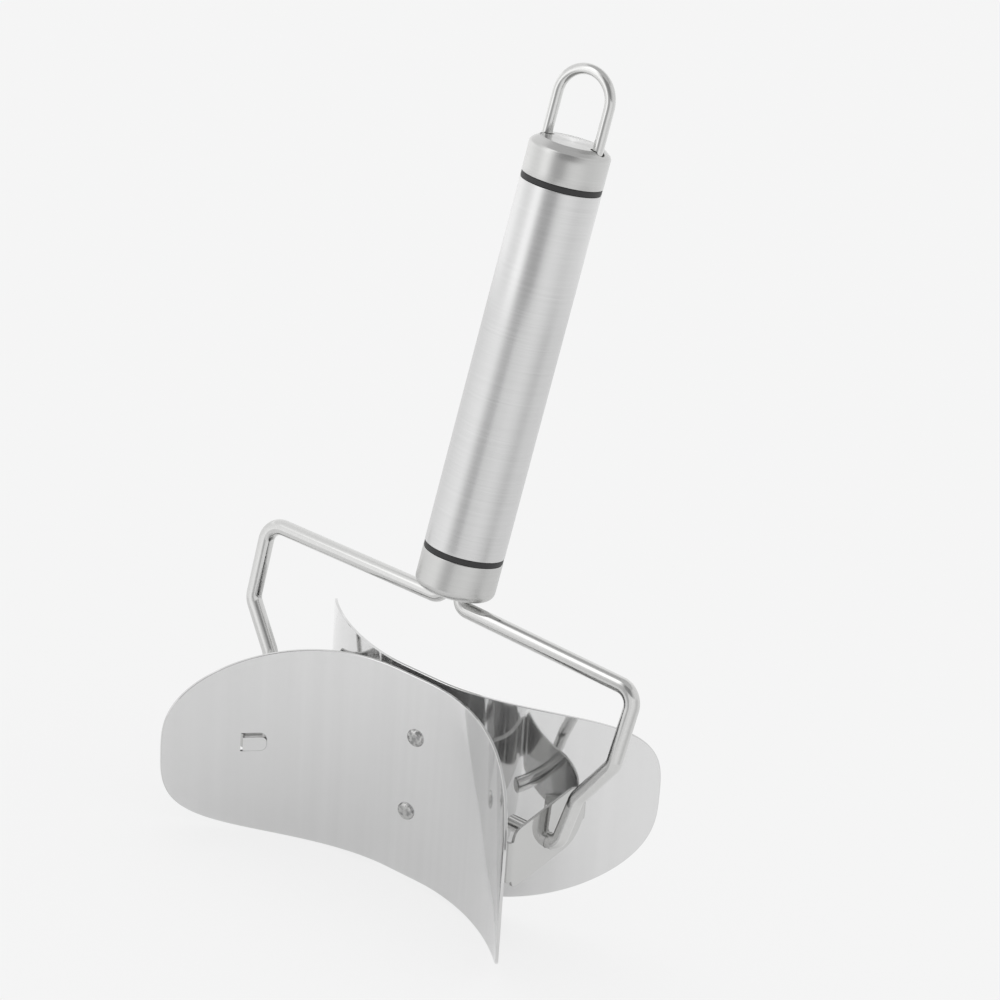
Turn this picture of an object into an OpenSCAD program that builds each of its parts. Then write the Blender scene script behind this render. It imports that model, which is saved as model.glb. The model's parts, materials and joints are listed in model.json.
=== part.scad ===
// Rolling cookie cutter: two bowed blades turn between wire arms on a tube handle.
// Origin: on the handle's axis at the middle of the grip tube, +Z towards the hanging loop, X along the axle.

/* [Handle] */
// Radius of the grip tube and of the parts flush with it
handle_r = 11; // [8:0.5:16]
// Length of the grip tube
tube_len = 101.6; // [70:0.2:140]
// Wall of the grip tube
tube_wall = 1; // [0.6:0.1:1.6]
// Width of each black ring
ring_w = 1.6; // [1:0.1:3]
// Depth of the rings below the tube's surface
ring_sink = 0.1; // [0.05:0.05:0.4]
// Length of the front ferrule below its ring
ferrule_len = 10.6; // [6:0.2:16]
// Length of the end cap above its ring
cap_len = 10.2; // [7:0.2:18]
// Length of each spigot inside the tube
spigot_len = 12; // [8:0.5:20]
// Radius of the ferrule's rounded lower edge
edge_r = 2.4; // [1:0.1:3]
// Height of the cap's sloping shoulder
shoulder_h = 1.9; // [1:0.1:3]
// Width of the flat lip between the shoulder and the disc
lip_w = 0.3; // [0.2:0.1:1]
// Radius of the disc set in the cap
disc_r = 8.4; // [7.6:0.1:8.6]
// Thickness of the disc set in the cap
disc_t = 1.1; // [0.8:0.1:1.8]

/* [Hanging loop] */
// Wire diameter of the loop
loop_wire_d = 3; // [2:0.1:3.2]
// Distance from the handle's axis to each leg of the loop
loop_leg_x = 8.1; // [6.6:0.1:8.4]
// Height of the loop above the cap, over the wire
loop_rise = 20.9; // [15:0.1:32]
// Diameter of the pocket round each leg
pocket_d = 4; // [3.6:0.1:4.6]
// Depth of the leg in the cap below the disc
loop_seat = 7; // [4:0.5:9]

/* [Wire arms] */
// Diameter of the arm wire, and of the axle stubs bent from it
arm_d = 4.4; // [3:0.1:5]
// Distance from the handle's axis to each arm's shank
shank_x = 3; // [2.8:0.1:4]
// Gap between the blades' tips and the arms
tip_gap = 2.7; // [2:0.1:10]
// Gap between the rolling blades and the cross run
drum_gap = 10; // [6:0.1:30]
// How much lower the left arm's shoulder lies than the middle of its run
left_drop = 0.7; // [0:0.1:2]
// How much lower the right arm's shoulder lies than the middle of its run
right_drop = 1.4; // [0:0.1:2]
// How much lower the right arm's run starts than the left one's
right_low = 0.5; // [0:0.1:1]
// How much nearer the handle's axis the right arm's shoulder stands
right_in = 0.9; // [0:0.1:1.2]
// Height above the axle where the arm turns inward
elbow_z = 27; // [22:0.5:32]
// How far the elbow stands in from the cross run's corner
elbow_in = 0.7; // [0:0.1:3]
// Height above the axle of the knee
knee_z = 14; // [10:0.2:18]
// Distance of the left arm's knee beyond its bend at the axle
left_knee_out = 0; // [0:0.1:3]
// Distance of the right arm's knee beyond its bend at the axle
right_knee_out = 1.8; // [0:0.1:3]
// Bend radius at the shoulder, the elbow and the knee
arm_bend_r = 5; // [4:0.1:6]
// Bend radius at the shank and at the axle
tight_bend_r = 3; // [2.6:0.1:3.4]
// Reach of each axle stub inside its bracket
stub_inside = 10.4; // [4:0.2:12]
// Play of the head between the arms' bends, each way
side_play = 1.9; // [1.7:0.1:2.6]
// How far the head has slid from the middle, towards the right arm
head_shift = 1.5; // [0:0.1:1.6]

/* [Blades] */
// Half length of the front blade, along the axle
cut_half_w = 57; // [54:0.5:58]
// Half length of the rear blade, which was bent a little shorter
rear_half_w = 55.5; // [54:0.5:58]
// How far the rear blade sits to the right of the front one
rear_slide = 1.1; // [0:0.1:1.5]
// Distance of the rims from the axle at the waist
waist_reach = 32.8; // [30:0.2:36]
// Distance of the blades' tips from the axle
tip_reach = 36.9; // [34:0.1:39]
// Share of the bow that comes only near the tips
late_bow = 0.18; // [0:0.01:0.4]
// Squareness of the blades' outline, where 2 is an ellipse
squareness = 3.1; // [2.4:0.1:4]
// Sheet thickness of the blades
blade_t = 0.8; // [0.5:0.1:1.2]
// Half width of the flat land at the waist
waist_half = 5; // [5:0.1:7]
// Distance between the rivets
rivet_pitch = 25; // [20:0.2:28]
// Lean of the rivet line from the blade's height
rivet_lean = 4; // [-4:0.5:4]
// Place of the rivet line's middle beside the waist's middle
rivet_side = 1.4; // [-1.4:0.1:1.4]
// Place of the rivet line's middle above the axle
rivet_rise = 1.2; // [-2:0.1:2]
// Diameter of the rivet shanks
rivet_d = 3; // [2:0.1:3.2]
// Diameter of the rivet heads
rivet_head_d = 5.2; // [4.4:0.1:5.2]
// Height of the rivet heads
rivet_head_h = 1.1; // [0.6:0.1:1.6]
// Angle at which the head stands
roll_angle = 19; // [0:1:359]

/* [Brackets] */
// Sheet thickness of the brackets
bracket_t = 0.8; // [0.5:0.1:1.2]
// Distance from the waist to the middle of the bracket's plate
plate_x = 45.7; // [45.2:0.1:46.2]
// Bend radius of the brackets, to the middle of the sheet
bend_r = 1.6; // [1.2:0.1:2.4]
// Half height of the bracket at the waist
leg_half = 17.2; // [16.5:0.1:20]
// Height of the plate's upper edge above the axle
plate_top = 11.4; // [9:0.1:13]
// Depth of the plate's lower edge below the axle
plate_low = 7.6; // [6:0.1:12]
// Corner radius of the plate at its near bend
near_corner_r = 3; // [1:0.1:4]
// Corner radius of the plate towards the far blade
far_corner_r = 8; // [4:0.2:9]
// Half height of the tongue at the far blade
tongue_half = 3; // [3:0.1:4]
// Distance from the waist to the end of the bracket's foot
foot_x = 36; // [33:0.5:36.5]
// Overlap of the leg past the waist
leg_over = 7; // [5:0.5:9]

/* [Window and lug] */
// Distance from the waist to the middle of the window
window_x = 41; // [40.6:0.1:41.2]
// Height of the window's middle above the axle
window_rise = 0.7; // [0:0.1:1.5]
// Width of the window along the sheet
window_w = 7.2; // [5:0.1:7.6]
// Height of the window
window_h = 6; // [4:0.1:8]
// Gap beside the lug, on the tip's side
lug_side_gap = 0.6; // [0.2:0.1:1.5]
// Gap above the lug
lug_top_gap = 1.6; // [0.4:0.1:2.5]

/* [Fits] */
// Running clearance of the axle stubs, on the radius
axle_clear = 0.08; // [0.02:0.01:0.1]
// Clearance of pieces set in one another, on the radius
seat_clear = 0.05; // [0.03:0.01:0.1]
// Gap between sheets that lie on one another
sheet_gap = 0.05; // [0.03:0.01:0.1]

/* [Hidden] */
$fn = 64;
EPS = 0.01;
PROFILE_STEPS = 18;
RIM_STEPS = 72;
BEND_STEPS = 10;
CORNER_STEPS = 8;

// Each straight of a wire laps into the bends beside it, where the wire is a trace thicker
BEND_LAP = 0.1;
BEND_SWELL = 0.02;

tube_end = tube_len / 2;
bore_r = handle_r - tube_wall;
spigot_r = bore_r - seat_clear;
ferrule_top = -tube_end - ring_w;
ferrule_bottom = ferrule_top - ferrule_len;
cap_bottom = tube_end + ring_w;
cap_top = cap_bottom + cap_len;

run_z = ferrule_bottom - tight_bend_r;

// Flanks of the blades: how long a blade runs from its own middle, and where that middle lies
FRONT_FLANK = [cut_half_w, 0];
REAR_RIGHT = [rear_half_w, rear_slide];
REAR_LEFT = [rear_half_w, -rear_slide];

// The blades stand off the axle by the stack of sheets that the rivets hold
waist_y = sheet_gap / 2 + bracket_t + sheet_gap + blade_t / 2;
rim_reach = max([
    for (flank = [FRONT_FLANK, REAR_RIGHT])
        for (x = stations(flank)) norm([bow(flank, x), rim(flank, x)])
]);
axle_z = run_z - left_drop - arm_d / 2 - drum_gap - rim_reach;
inset = blade_t / 2 + sheet_gap + bracket_t / 2;
stack_half = waist_y + blade_t / 2;

// Corners of an arm: over the blades' tips, and where its wire turns in to the axle
arm_reach = max(cut_half_w, rear_half_w + rear_slide) + tip_gap + arm_d / 2;
function stub_corner(knee_out) =
    let (turn = 90 - atan2(knee_out, knee_z))
    plate_x + bracket_t / 2 + side_play + tight_bend_r * tan(turn / 2);
stub_tip = plate_x - bracket_t / 2 - stub_inside;

// Stations from the waist's land out to the tip, which the sheets lying on a blade share
function stations(flank) = [
    for (i = [0 : PROFILE_STEPS])
        flank[1] + waist_half + (flank[0] - waist_half) * i / PROFILE_STEPS
];

// Height of a blade's rim above the axle, at distance x from the waist
function rim(flank, x) =
    waist_reach * pow(max(0, 1 - pow((x - flank[1]) / flank[0], squareness)), 1 / squareness);

// Distance of a blade's middle surface from the wheel's middle plane, and its slope
function bow_part(flank, x) = max(0, x - flank[1] - waist_half) / (flank[0] - waist_half);
function bow(flank, x) =
    let (s = bow_part(flank, x))
    waist_y + (tip_reach - waist_y) * ((1 - late_bow) * pow(s, 2) + late_bow * pow(s, 4));
function bow_slope(flank, x) =
    let (s = bow_part(flank, x), rate = (tip_reach - waist_y) / (flank[0] - waist_half))
    rate * (2 * (1 - late_bow) * s + 4 * late_bow * pow(s, 3));

// Point at distance d from the middle surface, towards the wheel's middle plane
function bow_offset(flank, x, d) =
    let (k = bow_slope(flank, x), n = sqrt(1 + k * k))
    [x + d * k / n, bow(flank, x) - d / n];

// Where a bracket's bend starts on a blade, so that it ends at the plate
function bend_start(flank, x = plate_x, tries = 8) =
    let (k = bow_slope(flank, x), better = plate_x - bend_r - (inset + bend_r) * k / sqrt(1 + k * k))
    tries == 0 ? better : bend_start(flank, better, tries - 1);

// How far the plate's straight part runs from the axle towards a blade
function plate_run(flank) =
    let (x = bend_start(flank), k = bow_slope(flank, x))
    bow(flank, x) - (inset + bend_r) / sqrt(1 + k * k);

// Outline of a blade seen along Y
function signed_power(v, p) = sign(v) * pow(abs(v), p);
function rim_outline(half_w) = [
    for (i = [0 : RIM_STEPS - 1])
        let (a = 360 * i / RIM_STEPS, p = 2 / squareness)
        [half_w * signed_power(cos(a), p), waist_reach * signed_power(sin(a), p)]
];

function mirror_x(points) = [for (i = [len(points) - 1 : -1 : 0]) [-points[i][0], points[i][1]]];
function mirror_y(points) = [for (p = points) [p[0], -p[1]]];
function reversed(points) = [for (i = [len(points) - 1 : -1 : 0]) points[i]];

// Outline of a sheet of thickness t whose middle line runs through the points
function unit(v) = v / norm(v);
function left_normal(points, i) =
    let (
        a = points[max(i - 1, 0)],
        b = points[min(i + 1, len(points) - 1)],
        d = unit(b - a)
    )
    [-d[1], d[0]];
function sheet_outline(points, t) = concat(
    [for (i = [0 : len(points) - 1]) points[i] + left_normal(points, i) * t / 2],
    reversed([for (i = [0 : len(points) - 1]) points[i] - left_normal(points, i) * t / 2])
);

// Round bar of one wire, bent in its own plane; the path's corners have the given radii
function corner_angle(path, i) =
    let (u = unit(path[i] - path[i - 1]), v = unit(path[i + 1] - path[i]))
    atan2(u[0] * v[1] - u[1] * v[0], u * v);
function corner_length(path, radii, i) =
    i == 0 || i == len(path) - 1 ? 0 : radii[i - 1] * tan(abs(corner_angle(path, i)) / 2);

// Draws the wire from corner i on, standing at that straight's start with Z along the wire
module wire_from(path, radii, d, i) {
    span = norm(path[i + 1] - path[i]);
    length = span - corner_length(path, radii, i) - corner_length(path, radii, i + 1);
    low = i == 0 ? 0 : -BEND_LAP;
    high = i == len(path) - 2 ? length : length + BEND_LAP;
    translate([0, 0, low])
        cylinder(h = high - low, d = d);
    if (i < len(path) - 2) {
        turn = corner_angle(path, i + 1);
        side = turn > 0 ? 1 : -1;
        r = radii[i];
        translate([-side * r, 0, length]) {
            rotate([90, 0, side > 0 ? 0 : 180])
                rotate_extrude(angle = abs(turn))
                    translate([r, 0])
                        circle(d = d + BEND_SWELL);
            rotate([0, -turn, 0])
                translate([side * r, 0, 0])
                    wire_from(path, radii, d, i + 1);
        }
    }
}

module bent_wire(path, radii, d) {
    u = unit(path[1] - path[0]);
    translate([path[0][0], 0, path[0][1]])
        rotate([0, 90 - atan2(u[1], u[0]), 0])
            wire_from(path, radii, d, 0);
}

// Half section of a round bar whose top edge is rounded
module rounded_half(r, h, edge) {
    square([r - edge, h]);
    square([r, h - edge]);
    translate([r - edge, h - edge])
        circle(r = edge);
}

// Half section of a round bar with a sloping shoulder
module shouldered_half(r, h, top_r, drop) {
    polygon([[0, 0], [r, 0], [r, h - drop], [top_r, h], [0, h]]);
}

// The head's own frame: X along the axle, Y across the waist, Z along the blades' height
module on_axle() {
    translate([head_shift, 0, axle_z])
        rotate([roll_angle, 0, 0])
            children();
}

module handle_tube() {
    color("silver")
        difference() {
            cylinder(h = tube_len, r = handle_r, center = true);
            cylinder(h = tube_len + 1, r = bore_r, center = true);
        }
}

module ring() {
    difference() {
        cylinder(h = ring_w, r = handle_r - ring_sink);
        translate([0, 0, -1])
            cylinder(h = ring_w + 2, r = bore_r);
    }
}

module front_ring() {
    color("#202020")
        translate([0, 0, ferrule_top])
            ring();
}

module rear_ring() {
    color("#202020")
        translate([0, 0, tube_end])
            ring();
}

module front_ferrule() {
    color("gainsboro")
        difference() {
            union() {
                translate([0, 0, ferrule_top])
                    cylinder(h = ring_w + spigot_len, r = spigot_r);
                translate([0, 0, ferrule_top])
                    mirror([0, 0, 1])
                        rotate_extrude()
                            rounded_half(handle_r, ferrule_len, edge_r);
            }
            for (x = [-shank_x, shank_x])
                translate([x, 0, ferrule_bottom - 1])
                    cylinder(h = ferrule_len + ring_w + spigot_len + 2, d = arm_d + 2 * seat_clear);
        }
}

module end_cap() {
    leg_bottom = cap_top - disc_t - loop_seat;
    color("gainsboro")
        difference() {
            union() {
                translate([0, 0, cap_bottom - ring_w - spigot_len])
                    cylinder(h = ring_w + spigot_len, r = spigot_r);
                translate([0, 0, cap_bottom])
                    rotate_extrude()
                        shouldered_half(handle_r, cap_len, disc_r + lip_w, shoulder_h);
            }
            translate([0, 0, cap_top - disc_t])
                cylinder(h = disc_t + 1, r = disc_r + seat_clear);
            for (x = [-loop_leg_x, loop_leg_x]) {
                translate([x, 0, leg_bottom])
                    cylinder(h = loop_seat + disc_t + 1, d = loop_wire_d + 2 * seat_clear);
                translate([x, 0, cap_top - disc_t])
                    cylinder(h = disc_t + 1, d = pocket_d);
            }
        }
}

module cap_disc() {
    color("lightgray")
        difference() {
            translate([0, 0, cap_top - disc_t])
                cylinder(h = disc_t, r = disc_r);
            for (x = [-loop_leg_x, loop_leg_x])
                translate([x, 0, cap_top - disc_t - 1])
                    cylinder(h = disc_t + 2, d = pocket_d);
        }
}

module hanging_loop() {
    leg_bottom = cap_top - disc_t - loop_seat;
    crown_z = cap_top + loop_rise - loop_wire_d / 2 - loop_leg_x;
    color("silver") {
        for (x = [-loop_leg_x, loop_leg_x])
            translate([x, 0, leg_bottom])
                cylinder(h = crown_z - leg_bottom, d = loop_wire_d);
        translate([0, 0, crown_z])
            rotate([90, 0, 0])
                rotate_extrude(angle = 180)
                    translate([loop_leg_x, 0])
                        circle(d = loop_wire_d);
    }
}

// One arm: shank, cross run, shoulder, elbow, knee and axle stub
module arm(low, drop, reach, knee_out) {
    corner_x = stub_corner(knee_out);
    path = [
        [shank_x, ferrule_top + ring_w + spigot_len],
        [shank_x, run_z - low],
        [reach, run_z - low - drop],
        [reach - elbow_in, axle_z + elbow_z],
        [corner_x + knee_out, axle_z + knee_z],
        [corner_x, axle_z],
        [stub_tip, axle_z]
    ];
    radii = [tight_bend_r, arm_bend_r, arm_bend_r, arm_bend_r, tight_bend_r];
    bent_wire(path, radii, arm_d);
}

module right_arm() {
    color("silver")
        arm(right_low, right_drop, arm_reach - right_in, right_knee_out);
}

module left_arm() {
    color("silver")
        rotate([0, 0, 180])
            arm(0, left_drop, arm_reach, left_knee_out);
}

// Stands at each rivet, its Z axis through the sheets
module at_rivets() {
    translate([rivet_side, 0, rivet_rise])
        rotate([0, rivet_lean, 0])
            for (side = [-1, 1])
                translate([0, 0, side * rivet_pitch / 2])
                    rotate([90, 0, 0])
                        children();
}

module riveted() {
    difference() {
        children();
        at_rivets()
            cylinder(h = 4 * stack_half, d = rivet_d + 2 * seat_clear, center = true);
    }
}

// Window's outline: square towards the tip, round towards the waist
module window_outline(w, h) {
    nose = h / 3;
    translate([-w / 2 + nose, -h / 2])
        square([w - nose, h]);
    translate([-w / 2, -h / 2 + nose])
        square([nose + EPS, h - 2 * nose]);
    for (side = [-1, 1])
        translate([-w / 2 + nose, side * (h / 2 - nose)])
            circle(r = nose);
}

// Stands on a blade's sheet at its window, its Z axis square to the sheet
module at_window(flank) {
    place = bow_offset(flank, window_x, 0);
    translate([place[0], place[1], window_rise])
        rotate([0, 0, atan(bow_slope(flank, window_x))])
            rotate([90, 0, 0])
                children();
}

// A blade whose right flank holds the window
module blade(right, left) {
    middle = concat(
        mirror_x([for (x = stations(left)) [x, bow(left, x)]]),
        [for (x = stations(right)) [x, bow(right, x)]]
    );
    difference() {
        intersection() {
            linear_extrude(height = 2 * waist_reach + 2, center = true)
                polygon(sheet_outline(middle, blade_t));
            translate([right[1], 0, 0])
                rotate([90, 0, 0])
                    linear_extrude(height = 4 * tip_reach, center = true)
                        polygon(rim_outline(right[0]));
        }
        at_window(right)
            linear_extrude(height = 4 * blade_t, center = true)
                window_outline(window_w, window_h);
    }
}

module front_blade() {
    color("whitesmoke")
        on_axle()
            riveted()
                rotate([0, 0, 180])
                    blade(FRONT_FLANK, FRONT_FLANK);
}

module rear_blade() {
    color("whitesmoke")
        on_axle()
            riveted()
                blade(REAR_RIGHT, REAR_LEFT);
}

// Middle line of a bracket's sheet on one blade, from x to its bend, and round to the plate
function on_blade(flank, from) =
    let (
        x = bend_start(flank),
        start = 180 + atan2(1, bow_slope(flank, x)),
        run = plate_run(flank)
    )
    concat(
        [bow_offset(flank, from, inset)],
        [for (q = stations(flank)) if (q > from + 1 && q < x - 1) bow_offset(flank, q, inset)],
        [bow_offset(flank, x, inset)],
        [
            for (i = [1 : BEND_STEPS])
                let (a = start + (360 - start) * i / BEND_STEPS)
                [plate_x - bend_r + bend_r * cos(a), bend_r * -sin(a) + run]
        ]
    );

// Middle line of a bracket, from its leg on the near blade over the axle to its foot on the far one
function bracket_line(near, far) = concat(
    [[-leg_over, inset - waist_y]],
    mirror_y(on_blade(near, near[1] + waist_half)),
    reversed(on_blade(far, foot_x))
);

// Arc that rounds corner b of an outline running a, b, c
function rounded_corner(a, b, c, r) =
    let (
        u = unit(a - b),
        v = unit(c - b),
        half = acos(u * v) / 2,
        centre = b + unit(u + v) * r / sin(half),
        from = b + u * r / tan(half) - centre,
        turn = (v[0] * u[1] - v[1] * u[0] > 0 ? 1 : -1) * (180 - 2 * half)
    )
    [
        for (i = [0 : CORNER_STEPS])
            let (t = turn * i / CORNER_STEPS)
            centre + [from[0] * cos(t) - from[1] * sin(t), from[0] * sin(t) + from[1] * cos(t)]
    ];
function rounded_outline(points, radii) = [
    for (i = [0 : len(points) - 1])
        let (n = len(points))
        each rounded_corner(points[(i + n - 1) % n], points[i], points[(i + 1) % n], radii[i])
];

// Side outline of the bracket's leg along X, and of its plate along Y
module leg_outline() {
    neck_x = plate_x - 2 * bend_r;
    neck_top = plate_top - near_corner_r;
    neck_low = plate_low - near_corner_r;
    polygon([
        [-leg_over - 1, leg_half], [leg_over, leg_half], [neck_x, neck_top],
        [plate_x, neck_top], [plate_x, -neck_low], [neck_x, -neck_low],
        [leg_over, -leg_half], [-leg_over - 1, -leg_half]
    ]);
}

module plate_outline(near_run, far_run) {
    polygon(rounded_outline(
        [
            [-near_run, -plate_low], [far_run, -plate_low],
            [far_run, plate_top], [-near_run, plate_top]
        ],
        [near_corner_r, far_corner_r, far_corner_r, near_corner_r]
    ));
}

module tongue_outline(far_run) {
    low = far_run - far_corner_r;
    translate([low, window_rise - tongue_half])
        square([2 * far_corner_r, 2 * tongue_half]);
}

module lug(flank) {
    w = window_w - lug_side_gap - 2 * seat_clear;
    h = window_h - lug_top_gap - 2 * seat_clear;
    at_window(flank)
        translate([-lug_side_gap / 2, -lug_top_gap / 2, -blade_t / 2])
            linear_extrude(height = blade_t + bracket_t / 2)
                window_outline(w, h);
}

module bracket(near, far) {
    difference() {
        intersection() {
            linear_extrude(height = 2 * leg_half + 2, center = true)
                polygon(sheet_outline(bracket_line(near, far), bracket_t));
            union() {
                rotate([90, 0, 0])
                    linear_extrude(height = tip_reach)
                        leg_outline();
                translate([plate_x, 0, 0])
                    rotate([90, 0, 90])
                        linear_extrude(height = 4 * bracket_t, center = true)
                            plate_outline(plate_run(near), plate_run(far));
                rotate([90, 0, 90])
                    linear_extrude(height = plate_x + bracket_t)
                        tongue_outline(plate_run(far));
            }
        }
        translate([plate_x, 0, 0])
            rotate([0, 90, 0])
                cylinder(h = 4 * bracket_t, r = arm_d / 2 + axle_clear, center = true);
    }
    lug(far);
}

module right_bracket() {
    color("gainsboro")
        on_axle()
            riveted()
                bracket(FRONT_FLANK, REAR_RIGHT);
}

module left_bracket() {
    color("gainsboro")
        on_axle()
            riveted()
                rotate([0, 0, 180])
                    bracket(REAR_LEFT, FRONT_FLANK);
}

module rivet_head() {
    dome_r = (pow(rivet_head_d / 2, 2) + pow(rivet_head_h, 2)) / (2 * rivet_head_h);
    intersection() {
        translate([0, 0, rivet_head_h - dome_r])
            sphere(r = dome_r);
        cylinder(h = 2 * rivet_head_h, d = rivet_head_d);
    }
}

module waist_rivets() {
    color("silver")
        on_axle()
            at_rivets() {
                cylinder(h = 2 * stack_half, d = rivet_d, center = true);
                for (side = [0, 1])
                    mirror([0, 0, side])
                        translate([0, 0, stack_half])
                            rivet_head();
            }
}

handle_tube();
front_ferrule();
front_ring();
rear_ring();
end_cap();
cap_disc();
hanging_loop();
left_arm();
right_arm();
front_blade();
rear_blade();
left_bracket();
right_bracket();
waist_rivets();
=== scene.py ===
import json
import math

import bmesh
import bpy
import numpy as np
from mathutils import Matrix, Vector


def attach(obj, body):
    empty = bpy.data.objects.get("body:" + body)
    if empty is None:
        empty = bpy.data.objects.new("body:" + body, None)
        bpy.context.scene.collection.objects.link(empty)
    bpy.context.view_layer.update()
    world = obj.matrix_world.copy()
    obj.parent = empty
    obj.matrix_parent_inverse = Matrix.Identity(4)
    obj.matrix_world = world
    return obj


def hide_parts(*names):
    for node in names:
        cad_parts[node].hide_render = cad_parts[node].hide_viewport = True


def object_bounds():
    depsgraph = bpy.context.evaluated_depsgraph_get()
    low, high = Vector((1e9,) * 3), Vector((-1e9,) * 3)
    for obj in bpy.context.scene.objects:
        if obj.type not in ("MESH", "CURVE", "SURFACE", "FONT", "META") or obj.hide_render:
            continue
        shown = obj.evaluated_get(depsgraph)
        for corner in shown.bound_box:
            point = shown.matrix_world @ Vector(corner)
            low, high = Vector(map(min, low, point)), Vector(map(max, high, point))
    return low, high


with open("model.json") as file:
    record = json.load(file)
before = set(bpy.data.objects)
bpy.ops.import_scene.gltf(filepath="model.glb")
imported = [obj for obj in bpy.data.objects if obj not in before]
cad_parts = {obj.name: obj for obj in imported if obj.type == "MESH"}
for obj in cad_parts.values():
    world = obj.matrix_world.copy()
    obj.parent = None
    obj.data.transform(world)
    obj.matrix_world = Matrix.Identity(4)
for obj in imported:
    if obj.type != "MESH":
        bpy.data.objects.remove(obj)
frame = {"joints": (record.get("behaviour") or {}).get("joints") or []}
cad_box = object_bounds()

# Grip tube
# A thin-walled stainless tube, 22 mm across, that the hand holds.
# It was drawn, cut square and brushed on a lathe, so its lines run round it.
# Sizes are in mm from the tube's middle, with Z along it, and MM turns them to metres.
MM = 0.001
GRIP_R = 11.0
GRIP_END = 50.8
GRIP_WALL = 1.0
GRIP_BORE_R = GRIP_R - GRIP_WALL
BROKEN_EDGE = 0.25
CREASE = math.radians(32)


def arc(r, z, radius, start, end, steps=6):
    """Points (r, z) of a rounded edge, from one angle to another in degrees."""
    turns = np.radians(np.linspace(start, end, steps + 1))
    return [(r + radius * math.cos(a), z + radius * math.sin(a)) for a in turns]


def keep(name, mesh, body, slot, material, *nodes):
    """Puts a finished mesh in the scene as the piece that stands for those CAD nodes."""
    piece = bpy.data.objects.new(name, mesh)
    bpy.context.scene.collection.objects.link(piece)
    mesh.materials.clear()
    mesh.materials.append(material)
    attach(piece, body)
    if nodes:
        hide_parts(*nodes)


def filled(name, vertices, faces):
    """Mesh in metres from points in mm, smooth but for its creases."""
    work = bmesh.new()
    points = [work.verts.new(Vector(v) * MM) for v in vertices]
    for face in faces:
        work.faces.new([points[i] for i in face])
    bmesh.ops.remove_doubles(work, verts=work.verts, dist=1e-7)
    bmesh.ops.recalc_face_normals(work, faces=work.faces)
    mesh = bpy.data.meshes.new(name)
    work.to_mesh(mesh)
    work.free()
    mesh.set_sharp_from_angle(angle=CREASE)
    return mesh


def turned(name, section, steps=160):
    """Mesh of a closed half section (r, z) in mm, turned about the handle's axis."""
    turns = np.linspace(0, 2 * math.pi, steps, endpoint=False)
    vertices = [(r * math.cos(a), r * math.sin(a), z) for a in turns for r, z in section]
    n = len(section)
    faces = []
    for i in range(steps):
        here, there = i * n, (i + 1) % steps * n
        for j in range(n):
            k = (j + 1) % n
            faces.append((here + j, there + j, there + k, here + k))
    return filled(name, vertices, faces)


def linear(code):
    """Linear colour of an sRGB hex value."""
    parts = [int(code[i:i + 2], 16) / 255 for i in (0, 2, 4)]
    return [c / 12.92 if c <= 0.04045 else ((c + 0.055) / 1.055) ** 2.4 for c in parts] + [1.0]


def add(tree, kind, settings=None, links=None):
    """Adds a node with its settings and the outputs that feed its sockets."""
    node = tree.nodes.new("ShaderNode" + kind)
    for name, value in (settings or {}).items():
        if isinstance(name, str) and hasattr(node, name):
            setattr(node, name, value)
        else:
            node.inputs[name].default_value = value
    for name, source in (links or {}).items():
        tree.links.new(source, node.inputs[name])
    return node


def blank(name):
    """A new material and its empty node tree."""
    material = bpy.data.materials.new(name)
    material.use_nodes = True
    material.node_tree.nodes.clear()
    return material, material.node_tree


# Brushed stainless steel: belt lines about 0.1 mm apart, drawn 0.3 mm apart so that they show.
# Each line runs round the tube, so the tent's edges stay crisp across it and smear along it.
BRUSH_LINE = 0.3 * MM
BRUSH_RUN = 30 * MM
brushed_steel, tree = blank("brushed_stainless_steel")
place = add(tree, "TexCoord")
lay = add(
    tree, "Mapping",
    {"Scale": (1 / BRUSH_RUN, 1 / BRUSH_RUN, 1 / BRUSH_LINE)},
    {"Vector": place.outputs["Object"]},
)
lines = add(
    tree, "TexNoise",
    {"Scale": 1.0, "Detail": 3.0, "Roughness": 0.6},
    {"Vector": lay.outputs["Vector"]},
)
tone = add(tree, "ValToRGB", {}, {"Fac": lines.outputs["Fac"]})
tone.color_ramp.elements[0].position = 0.3
tone.color_ramp.elements[0].color = linear("d2d2d2")
tone.color_ramp.elements[1].position = 0.7
tone.color_ramp.elements[1].color = linear("d8d8d8")
gloss = add(
    tree, "MapRange",
    {"From Min": 0.3, "From Max": 0.7, "To Min": 0.17, "To Max": 0.2},
    {"Value": lines.outputs["Fac"]},
)
grooves = add(tree, "Bump", {"Strength": 0.1, "Distance": 0.004 * MM}, {"Height": lines.outputs["Fac"]})
around = add(tree, "Tangent", {"direction_type": "RADIAL", "axis": "Z"})
surface = add(
    tree, "BsdfPrincipled",
    {"Metallic": 1.0, "Anisotropic": 0.93, "Anisotropic Rotation": 0.0},
    {
        "Base Color": tone.outputs["Color"],
        "Roughness": gloss.outputs["Result"],
        "Normal": grooves.outputs["Normal"],
        "Tangent": around.outputs["Tangent"],
    },
)
add(tree, "OutputMaterial", {}, {"Surface": surface.outputs["BSDF"]})

edge_z = GRIP_END - BROKEN_EDGE
tube_section = [
    (GRIP_BORE_R, GRIP_END),
    (GRIP_BORE_R, -GRIP_END),
    *arc(GRIP_R - BROKEN_EDGE, -edge_z, BROKEN_EDGE, -90, 0, 4),
    *arc(GRIP_R - BROKEN_EDGE, edge_z, BROKEN_EDGE, 0, 90, 4),
]
keep("grip_tube", turned("grip_tube", tube_section), "handle", "brushed_tube", brushed_steel, "handle_tube")

# Black rings
# Two black rubber rings, 1.6 mm wide, pressed between the tube and its ends.
# They are moulded, lie a tenth of a millimetre low and have soft edges.
RING_W = 1.6
RING_SUNK = 0.1
RING_R = GRIP_R - RING_SUNK
RING_SOFT = 0.3

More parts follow.
